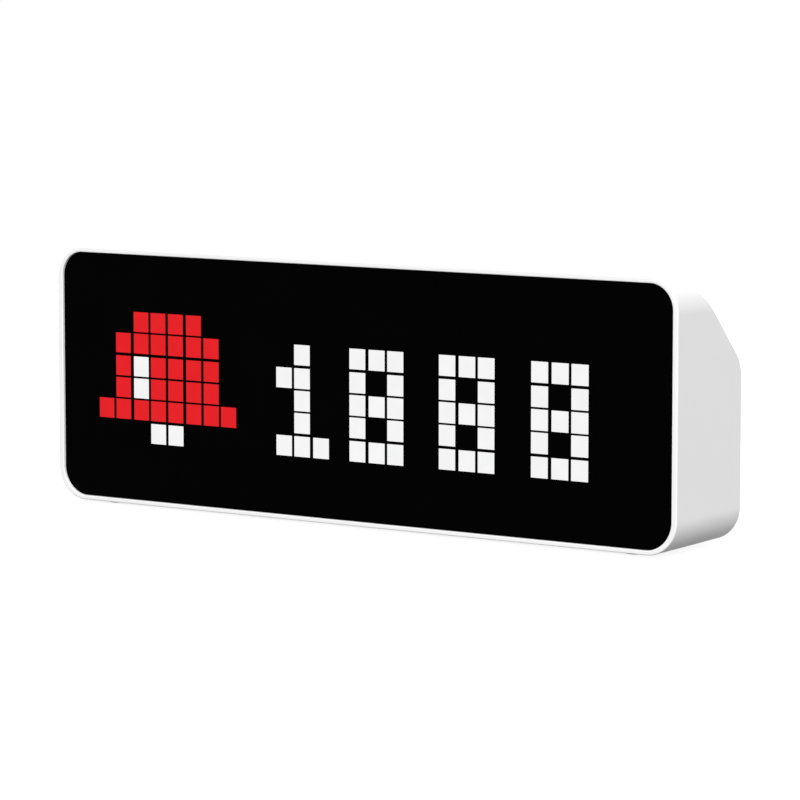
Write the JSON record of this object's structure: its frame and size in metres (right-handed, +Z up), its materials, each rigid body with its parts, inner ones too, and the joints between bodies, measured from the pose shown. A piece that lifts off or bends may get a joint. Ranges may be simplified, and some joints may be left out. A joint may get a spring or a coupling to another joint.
{
  "type": "pixel clock",
  "caption": "Desk pixel clock: white wedge-backed housing, smoked black front panel over an LED matrix, three top buttons, rear power button and inlet socket.",
  "frame": {"origin": "middle of the footprint, on the plane that the four feet stand on", "axes": "+Z up, the display faces -Y, +X to the right seen from the front"},
  "size_m": [0.2008, 0.0326, 0.0718],
  "materials": {
    "white_plastic": "fine matt moulded ABS",
    "smoked_acrylic": "polished smoked acrylic",
    "adhesive": "black foam tape",
    "diffuser_film": "milky film",
    "black_plastic": "matt black moulding",
    "board_laminate": "black solder mask",
    "steel": "plated steel",
    "nickel": "nickel strip",
    "foot_rubber": "matt dark grey rubber",
    "cell_sleeve": "blue shrink sleeve over a steel can",
    "red_insulation": "red silicone insulation",
    "black_insulation": "black silicone insulation",
    "connector_plastic": "natural nylon",
    "ribbon_film": "white flat cable"
  },
  "bodies": {
    "clock_body": {"battery_cell_lower": "cell_sleeve", "battery_cell_upper": "cell_sleeve", "battery_lead_black": "black_insulation", "battery_lead_red": "red_insulation", "battery_link_left": "nickel", "battery_link_right": "nickel", "board_screw_1": "steel", "board_screw_2": "steel", "board_screw_3": "steel", "board_screw_4": "steel", "button_board": "board_laminate", "button_board_screw_1": "steel", "button_board_screw_2": "steel", "button_ribbon": "ribbon_film", "button_ribbon_socket": "connector_plastic", "buzzer": "black_plastic", "charge_coil": "black_plastic", "climate_sensor": "steel", "clock_chip": "black_plastic", "diffuser_sheet": "diffuser_film", "driver_chip": "black_plastic", "foot_back_left": "foot_rubber", "foot_back_right": "foot_rubber", "foot_front_left": "foot_rubber", "foot_front_right": "foot_rubber", "front_panel": "smoked_acrylic", "housing": "white_plastic", "lead_plug": "connector_plastic", "lead_socket": "connector_plastic", "left_switch": "black_plastic", "light_grid": "black_plastic", "light_sensor": "connector_plastic", "matrix_board": "board_laminate", "middle_switch": "black_plastic", "panel_tape": "adhesive", "power_switch": "black_plastic", "right_switch": "black_plastic", "socket_board": "board_laminate", "socket_board_screw_1": "steel", "socket_board_screw_2": "steel", "socket_ribbon": "ribbon_film", "socket_ribbon_socket": "connector_plastic", "socket_shell": "steel", "socket_tongue": "black_plastic", "wifi_module": "board_laminate", "wifi_shield": "steel"},
    "left_key": {"left_button": "white_plastic", "left_plunger": "connector_plastic"},
    "middle_key": {"middle_button": "white_plastic", "middle_plunger": "connector_plastic"},
    "right_key": {"right_button": "white_plastic", "right_plunger": "connector_plastic"},
    "power_key": {"power_button": "white_plastic", "power_plunger": "connector_plastic"}
  },
  "joints": [
    {"name": "left_button_press", "type": "slide", "parent": "clock_body", "child": "left_key", "axis": [0, 0, -1], "range_m": [0, 0.0004], "stiffness_N_per_m": 600},
    {"name": "middle_button_press", "type": "slide", "parent": "clock_body", "child": "middle_key", "axis": [0, 0, -1], "range_m": [0, 0.0004], "stiffness_N_per_m": 600},
    {"name": "right_button_press", "type": "slide", "parent": "clock_body", "child": "right_key", "axis": [0, 0, -1], "range_m": [0, 0.0004], "stiffness_N_per_m": 600},
    {"name": "power_button_press", "type": "slide", "parent": "clock_body", "child": "power_key", "axis": [0, -1, 0], "range_m": [0, 0.0004], "stiffness_N_per_m": 600}
  ]
}
